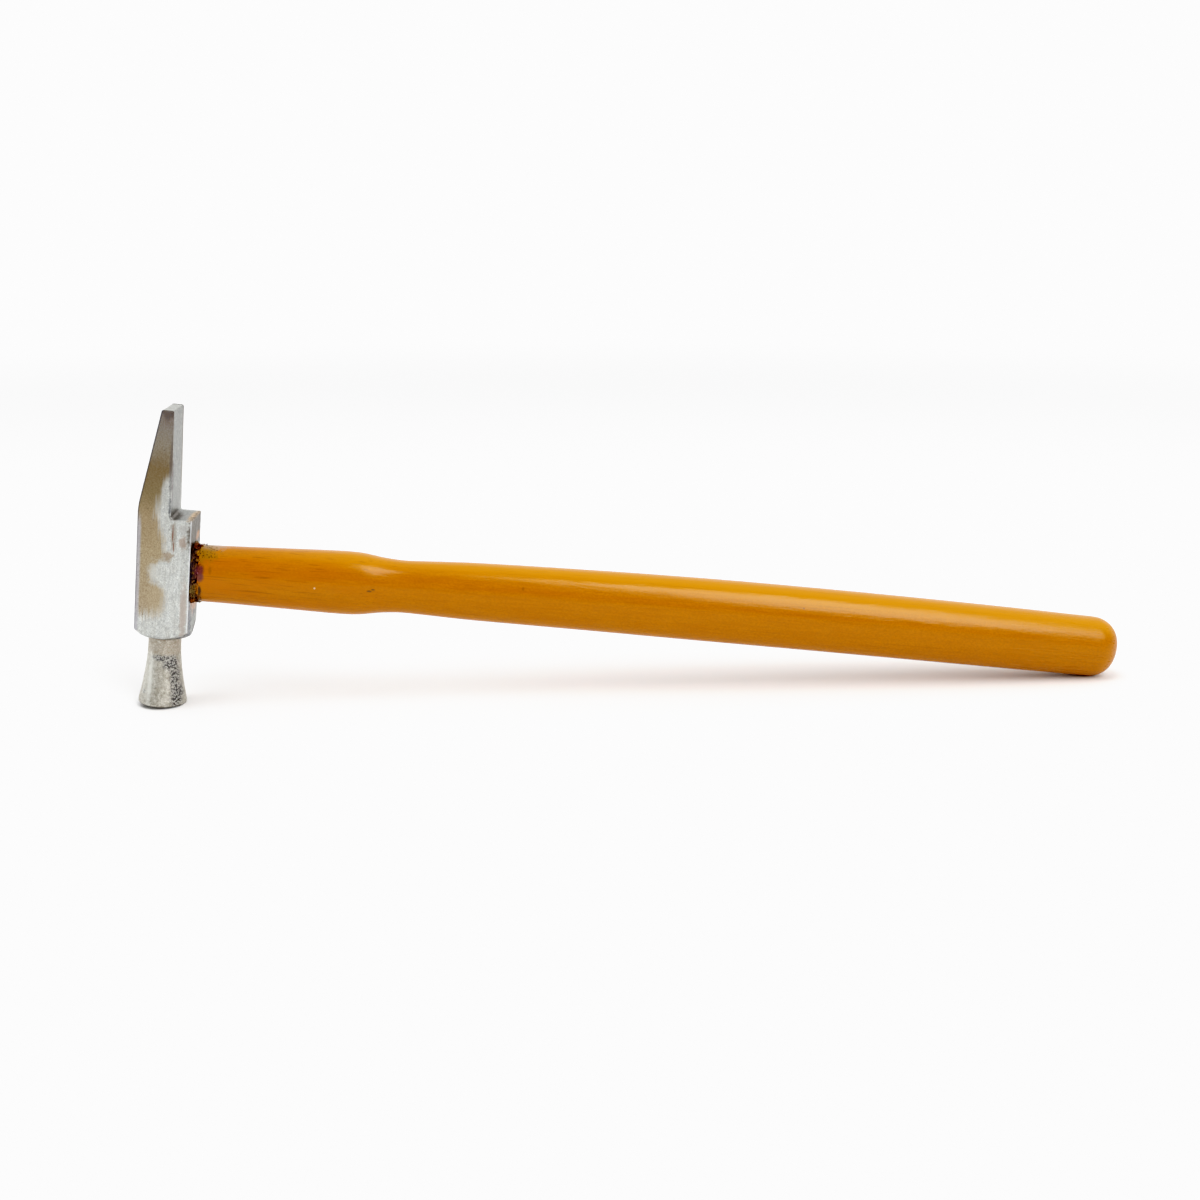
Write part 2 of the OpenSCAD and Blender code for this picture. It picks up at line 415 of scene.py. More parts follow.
# A brown stain up the outer half of both cheeks, lower on the far one. Its edge is streaky.
rise = share(tree, add_share(tree, far_side, 7, z), shoulder_z, tip_z)
stain_edge = [
    # height and how far the stain reaches across the cheek there
    (20, -7), (25, -3.5), (28, -0.4), (33, 0.5), (37, -2.4), (41, -3.0), (43.5, 0.3),
    (47, -0.2), (52, -1.4), (56, -2.2), (60, -1.5), (64, -0.4), (67, 1.5), (84, 4),
]
curve_reach = 8
edge_node = add(tree, "ShaderNodeFloatCurve", {"Value": rise})
points = edge_node.mapping.curves[0].points
for i, (edge_z, edge_x) in enumerate(stain_edge):
    up_curve = (edge_z - shoulder_z) / (tip_z - shoulder_z)
    spot_on_curve = (up_curve, (edge_x + curve_reach) / (2 * curve_reach))
    if i in (0, len(stain_edge) - 1):
        points[0 if i == 0 else -1].location = spot_on_curve
    else:
        points.new(*spot_on_curve)
edge_node.mapping.update()
past_edge = sum_up(tree, "ADD", x, curve_reach)
past_edge = add_share(tree, edge_node.outputs[0], -2 * curve_reach, past_edge)
past_edge = add_share(tree, far_side, 1.5, past_edge)
past_edge = add_share(tree, streak, 1.1, past_edge)
past_edge = add_share(tree, blotch, 1.3, past_edge)
past_edge = add_share(tree, speck, 0.6, past_edge)
stain = step(tree, past_edge, 3.2, -0.2)
stain_foot = step(tree, add_share(tree, streak, 3, z), 26, 31)
stain = times(tree, stain, stain_foot)
side_strip = times(tree, step(tree, outline, 1.5, 0.4), step(tree, z, 58, 50))
stain = times(tree, stain, step(tree, side_strip, 0, 1, 1, 0.3))
stain = times(tree, stain, cheek)

stain_colors = [
    # height and the colour of the stain there
    (20, shade(194, 184, 167)), (32, shade(184, 170, 146)), (46, shade(181, 167, 140)),
    (55, shade(172, 156, 129)), (62, shade(143, 130, 102)), (69, shade(136, 121, 95)),
    (75, shade(152, 146, 134)), (80, shade(148, 144, 138)), (82.5, shade(140, 133, 129)),
    (84, shade(112, 106, 106)),
]


def color_bands(tree, value, low, high, bands):
    """Runs through a list of colours while the value goes from low to high."""
    ramp = add(tree, "ShaderNodeValToRGB", {0: share(tree, value, low, high)})
    stops = ramp.color_ramp.elements
    for i, (at, color) in enumerate(bands):
        place_on_ramp = (at - low) / (high - low)
        if i in (0, len(bands) - 1):
            stop = stops[0 if i == 0 else -1]
            stop.position = place_on_ramp
        else:
            stop = stops.new(place_on_ramp)
        stop.color = color
    return ramp.outputs[0]


uneven_z = add_share(tree, blotch, 2, z)
stain_color = color_bands(tree, uneven_z, shoulder_z, tip_z, stain_colors)
stain_color = over(tree, times(tree, speck, 0.45), stain_color, shade(116, 94, 62))
patchy = add_share(tree, streak, 0.5, times(tree, blotch, 0.4))
color = over(tree, patchy, silver, silver_worn)
color = over(tree, times(tree, mottle, 0.35), color, shade(174, 177, 178))
speckled = times(tree, speck, step(tree, inner, 0, 1, 0.5, 0.75))
color = over(tree, speckled, color, shade(146, 146, 145))
# Painted shade: the faces toward the handle end, apart from the cheeks, are darkened evenly
color = over(tree, inner, color, shade(214, 213, 210), "MULTIPLY")
mottled = times(tree, mottle, times(tree, inner, 0.4))
color = over(tree, mottled, color, shade(136, 139, 142))
color = over(tree, stain, color, stain_color)
# Dark mottling on the side that faces the handle, below it
below_handle = times(tree, inner, step(tree, z, 35, 31))
below_handle = times(tree, below_handle, step(tree, y, 4, -3, 0.4, 0.85))
dark_mottling = times(tree, below_handle, step(tree, mottle, 0.45, 0.65))
color = over(tree, dark_mottling, color, shade(64, 62, 68))
front_marks = [
    # middle, size, raggedness, strength, colour
    ((-2.9, -7.4, 39.4), (0.8, 3, 3.6), 3.4, 0.45, silver_worn),
    ((-1.2, -7.4, 40.2), (0.9, 3, 2.6), 3.4, 0.35, silver_worn),
    ((-1.6, -7.4, 31.5), (2.4, 3, 5.0), 1.8, 0.35, shade(186, 172, 146)),
    ((2.5, -7.4, 49.8), (0.8, 3, 4.6), 2.2, 0.6, shade(156, 148, 136)),
    ((2.3, -7.4, 50.3), (0.16, 3, 2.6), 1.2, 0.9, shade(130, 88, 70)),
    ((2.6, -7.4, 46.8), (0.16, 3, 1.8), 1.2, 0.8, shade(138, 96, 78)),
    ((1.2, -7.4, 44.0), (1.3, 3, 1.5), 2.4, 0.7, shade(158, 140, 118)),
    ((5.0, -7.4, 48.2), (1.1, 3, 1.9), 2.6, 0.7, shade(160, 140, 126)),
    ((5.8, -7.4, 29.0), (1.0, 3, 8.5), 1.6, 0.7, shade(178, 164, 154)),
    ((5.6, -7.4, 52.2), (1.4, 3, 1.6), 2.0, 0.4, shade(176, 172, 168)),
    ((1.4, -5.7, 65.5), (0.6, 1.1, 6.5), 3.4, 0.8, shade(104, 92, 92)),
    ((1.2, -7.2, 69.0), (0.5, 0.7, 10.0), 1.5, 0.5, shade(104, 98, 100)),
    ((1.2, -6.6, 57.5), (0.5, 1.2, 3.5), 1.6, 0.75, shade(84, 84, 92)),
    ((2.3, -2, 55.0), (1.5, 7, 1.5), 2.0, 0.85, shade(96, 88, 80)),
    ((6.8, 0, 55.0), (1.5, 9, 1.2), 1.2, 0.75, shade(236, 196, 140)),
    ((7.2, -4.3, 25.5), (1.2, 2.1, 7.5), 1.9, 0.6, shade(92, 94, 106)),
    ((7.2, 0, 50.4), (1.2, 13, 5.8), 2.4, 0.93, shade(98, 89, 78)),
    ((7.3, 4, 48.4), (1.2, 3, 1.3), 1.6, 0.6, shade(206, 150, 104)),
    ((-0.3, 0, 84.3), (3.0, 9, 0.9), 1.0, 0.45, shade(176, 176, 168)),
    ((7.2, 2, 29.5), (1.0, 5, 3.0), 2.6, 0.6, shade(206, 158, 124)),
]


def mark_up(tree, place, color, marks):
    """Lays ragged spots over a colour, in the order of the list."""
    for middle, size, ragged, strength, mark_color in marks:
        mark = use(tree, spot, Place=place, Middle=middle, Size=size, Ragged=ragged)
        color = over(tree, times(tree, mark, strength), color, mark_color)
    return color


color = mark_up(tree, place, color, front_marks)
# Edges: a bluish painted reflection strip and a dark painted shade line on the outer edge
painted_reflection_strip = step(tree, times(tree, side_strip, cheek), 0, 1, 0, 0.55)
color = over(tree, painted_reflection_strip, color, shade(172, 168, 178))
painted_shade_edge = times(tree, step(tree, outline, 0.5, 0.1), step(tree, z, 50, 58, 0.25, 0.7))
painted_shade_edge = times(tree, painted_shade_edge, cheek)
color = over(tree, painted_shade_edge, color, shade(66, 70, 84))
# A painted highlight on the corners by the handle
bright_x = step(tree, x, 6.75, 6.95)
painted_highlight_edge = times(tree, bright_x, step(tree, sum_up(tree, "ABSOLUTE", y), 6.75, 6.95))
color = over(tree, times(tree, painted_highlight_edge, 0.5), color, shade(240, 243, 247))
# Painted shade along the bottom edge of the head, above the striking plug
painted_shade_low_edge = step(tree, z, 21.6, 20.4, 0, 0.35)
color = over(tree, painted_shade_low_edge, color, shade(120, 118, 116))
nick = use(tree, pits, Place=place, Spacing=1.4, Amount=0.12)
color = over(tree, times(tree, nick, 0.6), color, shade(84, 72, 62))
roughness = add_share(tree, streak, 0.1, 0.3)
roughness = add_share(tree, mottle, 0.06, roughness)
roughness = add_share(tree, stain, 0.12, roughness)
height = add_share(tree, streak, 0.6, speck)
height = add_share(tree, nick, -2, height)
finish_material(tree, shader, color, roughness, height, 0.012)
tree.links.new(add_share(tree, stain, -0.35, 1), shader.inputs["Metallic"])
head.data.materials.clear()
head.data.materials.append(steel)
lay_down(head, "head_steel", "head")

# Striking plug
# A round end forged and turned from rougher steel, flared to the striking face. Its spigot is
# pressed up into a pocket in the head, and painted shade darkens the neck under the head's lip.
face_r = 6.6
neck_r = 4.45
rim_h = 0.8
flare_top = 17.0
flare_power = 1.7
flare_rings = 48
neck_step = 0.35
face_chamfer = 0.3
plug_sides = 112

bpy.ops.mesh.primitive_circle_add(
    vertices=plug_sides, radius=(face_r - face_chamfer) * MM, fill_type="NGON"
)
plug = begin("striking_plug_steel")
bpy.ops.mesh.select_mode(type="FACE")
bpy.ops.mesh.select_all(action="SELECT")
rings = [(0.04, face_r - 0.12), (0.12, face_r - 0.03), (0.25, face_r), (0.5, face_r)]
for i in range(flare_rings + 1):
    t = i / flare_rings
    flare_r = neck_r + (face_r - neck_r) * (1 - t) ** flare_power
    rings.append((rim_h + (flare_top - rim_h) * t, flare_r))
rings += [(flare_top + neck_step * i, neck_r) for i in range(1, 9)]
rings += [(shoulder_z, neck_r), (shoulder_z, spigot_r), (shoulder_z + spigot_h, spigot_r)]
z_now, r_now = 0, face_r - face_chamfer
for z, r in rings:
    rise, grow = (z - z_now) * MM, r / r_now
    bpy.ops.mesh.extrude_region_move(TRANSFORM_OT_translate={"value": (0, 0, rise)})
    bpy.ops.transform.resize(value=(grow, grow, 1), center_override=(0, 0, z * MM))
    z_now, r_now = z, r
bpy.ops.mesh.select_all(action="SELECT")
bpy.ops.mesh.normals_make_consistent(inside=False)
only(plug)
bpy.ops.object.shade_smooth_by_angle(angle=math.radians(40))
cast_steel, tree, shader, place = new_material("pitted_steel")
z = add(tree, "ShaderNodeSeparateXYZ", {0: place}).outputs["Z"]
mottle = use(tree, grain, Place=place, Stretch=(1.1, 1.1, 0.9), Detail=5)
fine = use(tree, grain, Place=place, Stretch=(2.6, 2.6, 3.4), Detail=4)
grit = use(tree, grain, Place=place, Stretch=(4.2, 4.2, 4.2), Detail=2)
color = over(tree, mottle, shade(232, 230, 222), shade(194, 190, 178))
color = over(tree, times(tree, fine, 0.4), color, shade(144, 138, 124))
color = over(tree, times(tree, grit, 0.4), color, shade(126, 118, 104))
neck = step(tree, z, 13.8, 15.6)
neck = times(tree, neck, step(tree, fine, 0, 1, 0.2, 0.75))
color = over(tree, neck, color, shade(176, 163, 146))
# Where the surface is pitted and crusted: a band below the neck and down one side
pitted = use(tree, spot, Place=place, Middle=(0.4, -4.6, 14.0), Size=(3.6, 4, 0.9), Ragged=1.2)
pitted_spots = [
    ((2.4, -4.0, 12.6), (2.1, 4, 2.2)),
    ((3.7, -3.4, 8.6), (1.3, 4, 3.8)),
    ((4.4, -3.4, 3.4), (1.7, 4, 4.4)),
    ((-4.5, -4.0, 3.8), (0.6, 3, 0.6)),
]
for middle, size in pitted_spots:
    more = use(tree, spot, Place=place, Middle=middle, Size=size, Ragged=1.2)
    pitted = sum_up(tree, "MAXIMUM", pitted, more)
crust = use(tree, grain, Place=place, Stretch=(2.0, 2.0, 2.2), Detail=8)
crust = times(tree, step(tree, crust, 0.3, 0.7), pitted)
color = over(tree, times(tree, pitted, 0.3), color, shade(176, 180, 184))
color = over(tree, times(tree, crust, 0.85), color, shade(74, 72, 74))
low_rim = step(tree, z, 3.2, 0.8, 0.09, 0.2)
how_pitted = add_share(tree, pitted, 0.16, low_rim)
pit = use(tree, pits, Place=place, Spacing=0.55, Amount=how_pitted)
color = over(tree, times(tree, pit, 0.8), color, shade(56, 50, 42))
# Painted highlights: bright streaks down the left side of the plug
painted_highlights = [
    # middle, size, raggedness, strength, colour
    ((-3.6, -4.6, 8.5), (2.2, 4, 9.0), 1.4, 0.35, shade(246, 247, 240)),
    ((-2.9, -5.2, 8.0), (0.7, 3, 8.0), 1.4, 0.6, shade(246, 247, 240)),
]
color = mark_up(tree, place, color, painted_highlights)
# Painted shade on the top of the neck, under the lip of the head
color = over(tree, step(tree, z, 18.9, 19.6, 0, 0.6), color, shade(96, 82, 70))
roughness = add_share(tree, mottle, 0.12, 0.34)
# Painted shade along the bottom rim, where the striking face meets the floor
color = over(tree, step(tree, z, 0.5, 0.1, 0, 0.5), color, shade(84, 78, 74))
height = add_share(tree, mottle, 0.7, fine)
height = add_share(tree, grit, 0.9, height)
height = add_share(tree, crust, -1.5, height)
height = add_share(tree, pit, -1.5, height)
finish_material(tree, shader, color, roughness, height, 0.05)
shader.inputs["Metallic"].default_value = 1
plug.data.materials.append(cast_steel)
lay_down(plug, "plug_steel", "striking_plug")

# Handle
# A slim oval stick of hardwood, arched a little, with a swell and a waist in front of the grip and a
# rounded butt. Its tenon goes through the eye. It is painted mustard yellow with a brush.
handle_reach = 280.0
joint_gap = 1.9
shoulder_x = body_d / 2 + joint_gap
tenon_proud = 0.4
butt_round = 8.0
grip_end = handle_reach - butt_round
butt_wear = 0.5
butt_x = grip_end - butt_wear
butt_half = 9.05
butt_rings = 16
bluntness = 2.2
ring_step = 1.7
handle_sides = 96
shoulder_half = 8.0
oval = 0.8
squareness = 2.2
centre_rise = 1.0
arch = 1.55
stations = [
    # distance along the handle and half its height there
    (shoulder_x, shoulder_half), (30, 8.5), (48, 9.0), (53.5, 8.8), (59.5, 7.9), (65, 7.5),
    (72, 7.75), (84, 8.25), (110, 8.7), (150, 9.2), (200, 9.35), (245, 9.25),
    (grip_end, butt_half),
]


def centre_z(x):
    """Height of the handle's centre line."""
    return eye_z + centre_rise * x / handle_reach + arch * math.sin(math.pi * x / handle_reach)


def station_slope(i):
    """How fast the half height changes at a station."""
    if i in (0, len(stations) - 1):
        return 0
    (x0, h0), (x1, h1) = stations[i - 1], stations[i + 1]
    return (h1 - h0) / (x1 - x0)


def half_height(x):
    """Half the handle's height, on a smooth curve through the stations."""
    i = max(n for n in range(len(stations) - 1) if n == 0 or stations[n][0] <= x)
    (x0, h0), (x1, h1) = stations[i], stations[i + 1]
    run = x1 - x0
    t = (x - x0) / run
    return (
        h0 * (2 * t**3 - 3 * t**2 + 1)
        + station_slope(i) * run * (t**3 - 2 * t**2 + t)
        + h1 * (3 * t**2 - 2 * t**3)
        + station_slope(i + 1) * run * (t**3 - t**2)
    )


def squared_circle(angle):
    """How far a point of the handle's outline stands across and up, for a half width of 1."""
    around = (math.cos(angle), math.sin(angle))
    return [math.copysign(abs(part) ** (2 / squareness), part) for part in around]


ring_count = round((butt_x - shoulder_x) / ring_step)
rings = []
for i in range(ring_count + 1):
    x = shoulder_x + (butt_x - shoulder_x) * i / ring_count
    rings.append((x, half_height(x)))
for i in range(1, butt_rings):
    turn = math.radians(90 * i / butt_rings)
    out, height = (part ** (2 / bluntness) for part in (math.sin(turn), math.cos(turn)))
    rings.append((butt_x + butt_round * out, butt_half * height))

bpy.ops.mesh.primitive_circle_add(
    vertices=handle_sides, radius=MM, fill_type="NGON", rotation=(0, math.pi / 2, 0)
)
handle = begin("painted_handle")
mesh = bmesh.from_edit_mesh(handle.data)
x_now, h_now = rings[0]
for corner in mesh.verts:
    across, rise = squared_circle(math.atan2(corner.co.z, corner.co.y))
    corner.co = Vector((x_now, across * oval * h_now, centre_z(x_now) + rise * h_now)) * MM
bmesh.update_edit_mesh(handle.data)
bpy.ops.mesh.select_mode(type="FACE")
bpy.ops.mesh.select_all(action="SELECT")
for x, h in rings[1:]:
    move = Vector((x - x_now, 0, centre_z(x) - centre_z(x_now))) * MM
    bpy.ops.mesh.extrude_region_move(TRANSFORM_OT_translate={"value": move})
    bpy.ops.transform.resize(
        value=(1, h / h_now, h / h_now), center_override=(x * MM, 0, centre_z(x) * MM)
    )
    x_now, h_now = x, h
bpy.ops.mesh.select_all(action="SELECT")
bpy.ops.mesh.normals_make_consistent(inside=False)
only(handle)
tenon_end = -body_d / 2 - tenon_proud
cut(handle, slot_tool("tenon", tenon_end, shoulder_x + 3, eye_h, eye_w), "UNION")


def kerf(deep, high, wide, tip_high, tip_wide):
    """The saw cut that a wedge is driven into, widest at the end of the tenon."""
    bpy.ops.mesh.primitive_cube_add(
        size=MM,
        location=((tenon_end + deep / 2 - 1) * MM, 0, eye_z * MM),
        scale=(deep + 2, wide, high),
    )
    cutter = begin("kerf")
    pick(cutter, lambda p: p.x > tenon_end + deep - slack)
    bpy.ops.transform.resize(
        value=(1, tip_wide / wide, tip_high / high), center_override=(0, 0, eye_z * MM)
    )
    cut(handle, cutter)


kerf(10.6, 11.4, 2.6, 11.4, 0.6)
kerf(8.6, 1.8, 6.2, 0.4, 6.2)
only(handle)
bpy.ops.object.shade_smooth_by_angle(angle=math.radians(40))
paint, tree, shader, place = new_material("mustard_paint")
parts = add(tree, "ShaderNodeSeparateXYZ", {0: place})
x, y, z = parts.outputs
brushing = use(tree, grain, Place=place, Stretch=(0.09, 1.6, 1.6), Detail=3)
hair = use(tree, grain, Place=place, Stretch=(0.025, 4.0, 4.0), Detail=2)
uneven = use(tree, grain, Place=place, Stretch=(0.05, 0.2, 0.2), Detail=2)
sand = use(tree, grain, Place=place, Stretch=(1.5, 2.2, 2.2), Detail=4)
color = over(tree, brushing, (0.45, 0.155, 0.002, 1), (0.49, 0.178, 0.003, 1))
sanded = times(tree, sand, step(tree, x, 60, 270, 0.55, 0.8))
color = over(tree, sanded, color, (0.37, 0.133, 0.002, 1))
near_head = step(tree, x, 75, 15, 0.1, 0.8)
color = over(tree, times(tree, near_head, uneven), color, (0.45, 0.14, 0.002, 1))
arched = sum_up(tree, "SINE", times(tree, x, math.pi / handle_reach))
middle_z = add_share(tree, arched, arch, eye_z + centre_rise / 2)
above_middle = sum_up(tree, "SUBTRACT", z, middle_z)
# Painted light: the top of the handle is lighter and yellower, from a little way past the head on
painted_top_light = times(tree, step(tree, above_middle, 4, 8.5), step(tree, x, 20, 60, 0.2, 0.9))
color = over(tree, painted_top_light, color, (0.54, 0.235, 0.004, 1))
line = step(tree, hair, 0.86, 1.0)
worn_in = step(tree, x, 90, 30, 0.2, 0.65)
color = over(tree, times(tree, line, worn_in), color, (0.26, 0.09, 0.004, 1))
# Dirt and crust by the head, two dents at the waist and a few specks along the grip
paint_marks = [
    # middle, size, raggedness, strength, colour
    ((11.5, 0, 46.6), (4.5, 6, 1.0), 1.6, 0.6, (0.42, 0.33, 0.24, 1)),
    ((10.2, -3, 45.0), (3.6, 6, 2.4), 3.0, 0.75, (0.3, 0.15, 0.008, 1)),
    ((9.7, -6.2, 38.8), (1.15, 3, 1.4), 0.5, 0.9, (0.14, 0.045, 0.055, 1)),
    ((9.7, -6.2, 40.8), (1.15, 3, 1.5), 0.5, 0.9, (0.14, 0.045, 0.055, 1)),
    ((9.4, 0, 32.2), (0.9, 9, 2.0), 2.6, 0.7, (0.06, 0.03, 0.012, 1)),
    ((9.7, -6, 34.9), (0.5, 3, 1.5), 1.2, 0.9, (0.03, 0.02, 0.012, 1)),
    ((56.0, -7, 39.0), (0.7, 3, 0.3), 0.8, 0.7, (0.05, 0.04, 0.02, 1)),
    ((57.1, -7, 39.5), (0.6, 3, 0.25), 0.8, 0.8, (0.05, 0.04, 0.02, 1)),
    ((41.0, -7, 38.6), (0.28, 3, 0.28), 0.2, 0.8, (0.75, 0.6, 0.4, 1)),
    ((12.4, -7, 40.9), (0.5, 3, 1.2), 0.9, 0.4, (0.16, 0.08, 0.02, 1)),
    ((180.2, -5, 44.9), (0.3, 3, 0.3), 0.3, 0.8, (0.1, 0.05, 0.02, 1)),
    ((98.8, -6, 43.4), (0.4, 3, 0.6), 0.8, 0.5, (0.22, 0.09, 0.02, 1)),
]
color = mark_up(tree, place, color, paint_marks)
speckled = use(tree, spot, Place=place, Middle=(10.8, -3, 45.3), Size=(4.6, 7, 2.4), Ragged=1.5)
speckled = add_share(tree, speckled, 0.42, -0.1)
speckled = sum_up(tree, "MAXIMUM", speckled, step(tree, x, 11.5, 9.0, -0.1, 0.36))
fleck = use(tree, pits, Place=place, Spacing=0.7, Amount=speckled)
color = over(tree, times(tree, fleck, 0.85), color, (0.035, 0.018, 0.008, 1))
worn_butt = step(tree, x, 222, 276)
peel = use(tree, grain, Place=place, Stretch=(1.1, 1.6, 1.6), Detail=3)
roughness = add_share(tree, brushing, 0.05, 0.2)
roughness = add_share(tree, worn_butt, 0.07, roughness)
ripple = use(tree, grain, Place=place, Stretch=(0.12, 0.8, 0.8), Detail=2)
height = add_share(tree, ripple, 2.5, brushing)
height = add_share(tree, hair, 0.3, height)
height = add_share(tree, peel, step(tree, x, 40, 270, 1.1, 2.4), height)
finish_material(tree, shader, color, roughness, height, 0.008)
shader.inputs["Specular Tint"].default_value = (0.95, 1, 0.8, 1)
handle.data.materials.clear()
handle.data.materials.append(paint)

bare_wood, tree, shader, place = new_material("bare_end_grain")
pores = use(tree, grain, Place=place, Stretch=(0.3, 3.2, 3.2), Detail=3)
from_heart = add(tree, "ShaderNodeVectorMath", {0: place, 1: (0, 13, 22)}, operation="SUBTRACT")
rings_of_growth = add(
    tree,
    "ShaderNodeTexWave",
    {"Vector": from_heart.outputs[0], "Scale": 0.24, "Distortion": 1.5, "Detail": 3},
    wave_type="RINGS",
    rings_direction="X",
)
color = over(tree, rings_of_growth.outputs["Fac"], shade(192, 154, 106), shade(166, 124, 78))
color = over(tree, times(tree, pores, 0.5), color, shade(92, 60, 34))
finish_material(tree, shader, color, add_share(tree, pores, 0.15, 0.6), pores, 0.03)
handle.data.materials.append(bare_wood)
bpy.ops.object.mode_set(mode="EDIT")
pick(handle, lambda p: p.x < shoulder_x - 0.5)
handle.active_material_index = 1
bpy.ops.object.material_slot_assign()
lay_down(handle, "painted_wood", "handle")

# Wedges
# A wooden wedge fills the long saw cut in the tenon and spreads it in the eye, and a thin steel
# wedge driven across it locks both. Their ends lie just under the end of the tenon.
hard_wood, tree, shader, place = new_material("wedge_wood")
fibre = use(tree, grain, Place=place, Stretch=(0.5, 4, 1.5), Detail=3)
color = over(tree, fibre, shade(168, 122, 72), shade(120, 80, 44))
finish_material(tree, shader, color, add_share(tree, fibre, 0.1, 0.62), fibre, 0.03)

wedge_steel, tree, shader, place = new_material("dull_wedge_steel")
rust = use(tree, grain, Place=place, Stretch=(0.8, 0.8, 0.8), Detail=5)
fine = use(tree, grain, Place=place, Stretch=(4, 4, 4), Detail=3)
color = over(tree, fine, shade(150, 146, 140), shade(112, 106, 100))
color = over(tree, times(tree, rust, 0.7), color, shade(104, 66, 42))
tree.links.new(add_share(tree, rust, -0.6, 1), shader.inputs["Metallic"])
finish_material(tree, shader, color, add_share(tree, rust, 0.2, 0.45), rust, 0.03)
for node, material in (("eye_wedge", hard_wood), ("cross_wedge", wedge_steel)):
    wedge = bpy.data.objects[node]
    for material_slot in wedge.material_slots:
        material_slot.material = material

# Joint filler
# A dark crust of old glue, rust and dirt that has squeezed out between the head and the shoulder of
# the handle. It stands ragged all round the joint, with loose crumbs stuck to it.
filler_profile = [
    # distance along the handle and how far the crust stands out from it there
    (7.0, 0.9), (7.4, 0.75), (7.8, 0.7), (8.2, 0.5), (8.6, 0.5), (9.0, 0.3), (9.3, 0.1),
    (9.6, -0.3),
]
crust_sides = 132
crumb_count = 150


def outline_of_handle(angle, half, x):
    """A point on the handle's outline, or outside it, in millimetres."""
    across, rise = squared_circle(angle)
    half_width = oval * half + (1 - oval) * (half - shoulder_half)
    return Vector((x, across * half_width, centre_z(shoulder_x) + rise * half))


only(handle)
bpy.ops.mesh.primitive_circle_add(
    vertices=crust_sides, radius=MM, fill_type="NGON", rotation=(0, math.pi / 2, 0)
)
filler = begin("joint_crust")
x_now, half_now = filler_profile[0][0], shoulder_half + filler_profile[0][1]
mesh = bmesh.from_edit_mesh(filler.data)
for corner in mesh.verts:
    corner.co = outline_of_handle(math.atan2(corner.co.z, corner.co.y), half_now, x_now) * MM
bmesh.update_edit_mesh(filler.data)
bpy.ops.mesh.select_mode(type="FACE")
bpy.ops.mesh.select_all(action="SELECT")
for x_next, stand_out in filler_profile[1:]:
    half = shoulder_half + stand_out
    length = (x_next - x_now) * MM
    bpy.ops.mesh.extrude_region_move(TRANSFORM_OT_translate={"value": (length, 0, 0)})
    bpy.ops.transform.resize(
        value=(1, half / half_now, half / half_now),
        center_override=(x_next * MM, 0, centre_z(shoulder_x) * MM),
    )
    x_now, half_now = x_next, half
bpy.ops.mesh.select_all(action="SELECT")
bpy.ops.mesh.normals_make_consistent(inside=False)
bpy.ops.mesh.select_all(action="DESELECT")
pick(filler, lambda p: p.x < 9.59)
bpy.ops.mesh.subdivide(number_cuts=1)
only(filler)
roughen(filler, 1.3, 1.1, 4)
roughen(filler, 0.5, 0.5, 2)

dice = random.Random(7)
crumbs = []
for _ in range(crumb_count):
    angle = dice.uniform(0, 2 * math.pi)
    spread = 2.2 + 1.4 * max(0, math.sin(5 * angle))
    x_crumb = 7.15 + spread * dice.random() ** 1.6
    on_top = 0.5 if math.sin(angle) > 0.6 else 0
    stand_out = dice.uniform(-0.5, 0.35) + on_top * dice.random()
    middle = outline_of_handle(angle, shoulder_half + stand_out, x_crumb) * MM
    only(filler)
    bpy.ops.mesh.primitive_ico_sphere_add(
        subdivisions=1,
        radius=dice.uniform(0.18, 0.48) * MM,
        location=middle,
        rotation=[dice.uniform(0, math.pi) for _ in range(3)],
        scale=[dice.uniform(0.6, 1.5) for _ in range(3)],
    )
    crumb = bpy.context.active_object
    bpy.ops.object.transform_apply(location=True, rotation=True, scale=True)
    for corner in crumb.data.vertices:
        corner.co += (corner.co - middle) * dice.uniform(-0.25, 0.35)
    crumbs.append(crumb)
only(filler)
for crumb in crumbs:
    crumb.select_set(True)
bpy.ops.object.join()

crust_paint, tree, shader, place = new_material("dark_crust")
lumps = use(tree, grain, Place=place, Stretch=(1.5, 1.1, 1.1), Detail=4)
grit = use(tree, grain, Place=place, Stretch=(4, 3, 3), Detail=3)
crust_colors = [
    (0, shade(52, 40, 40)), (0.45, shade(84, 64, 60)), (0.75, shade(120, 90, 78)),
    (0.95, shade(140, 106, 70)), (1.15, shade(170, 134, 72)), (1.35, shade(190, 156, 96)),
]
color = color_bands(tree, add_share(tree, grit, 0.35, lumps), 0, 1.35, crust_colors)
# Patches of old putty and of paint that ran over the crust, and a dark blue painted shadow along the
# head
crust_marks_and_shadow = [
    # middle, size, raggedness, strength, colour
    # Painted shadow where the crust meets the face of the head
    ((7.3, -7, 39), (0.5, 5, 5.5), 0.8, 0.7, shade(44, 44, 66)),
    ((9.4, -7, 40.2), (1.2, 4, 2.5), 0.5, 0.9, shade(140, 88, 96)),
    ((9.4, -5, 44.7), (1.1, 5, 2.2), 1.8, 0.8, shade(196, 136, 14)),
    ((7.9, -7, 34.0), (0.8, 4, 2.4), 4.5, 0.7, shade(160, 138, 92)),
    ((9.3, -7, 34.6), (0.7, 4, 2.6), 2.6, 0.8, shade(196, 128, 10)),
    ((7.7, -6, 30.4), (0.9, 5, 1.5), 2.4, 0.85, shade(204, 124, 30)),
    ((8.6, -3, 47.2), (1.3, 6, 1.3), 1.8, 0.75, shade(140, 66, 44)),
]
color = mark_up(tree, place, color, crust_marks_and_shadow)
dark_grit = times(tree, step(tree, grit, 0.55, 0.9), 0.7)
color = over(tree, dark_grit, color, shade(40, 28, 26))
finish_material(tree, shader, color, add_share(tree, grit, 0.3, 0.55), grit, 0.12)
filler.data.materials.append(crust_paint)
lay_down(filler, "dark_filler", "joint_filler")

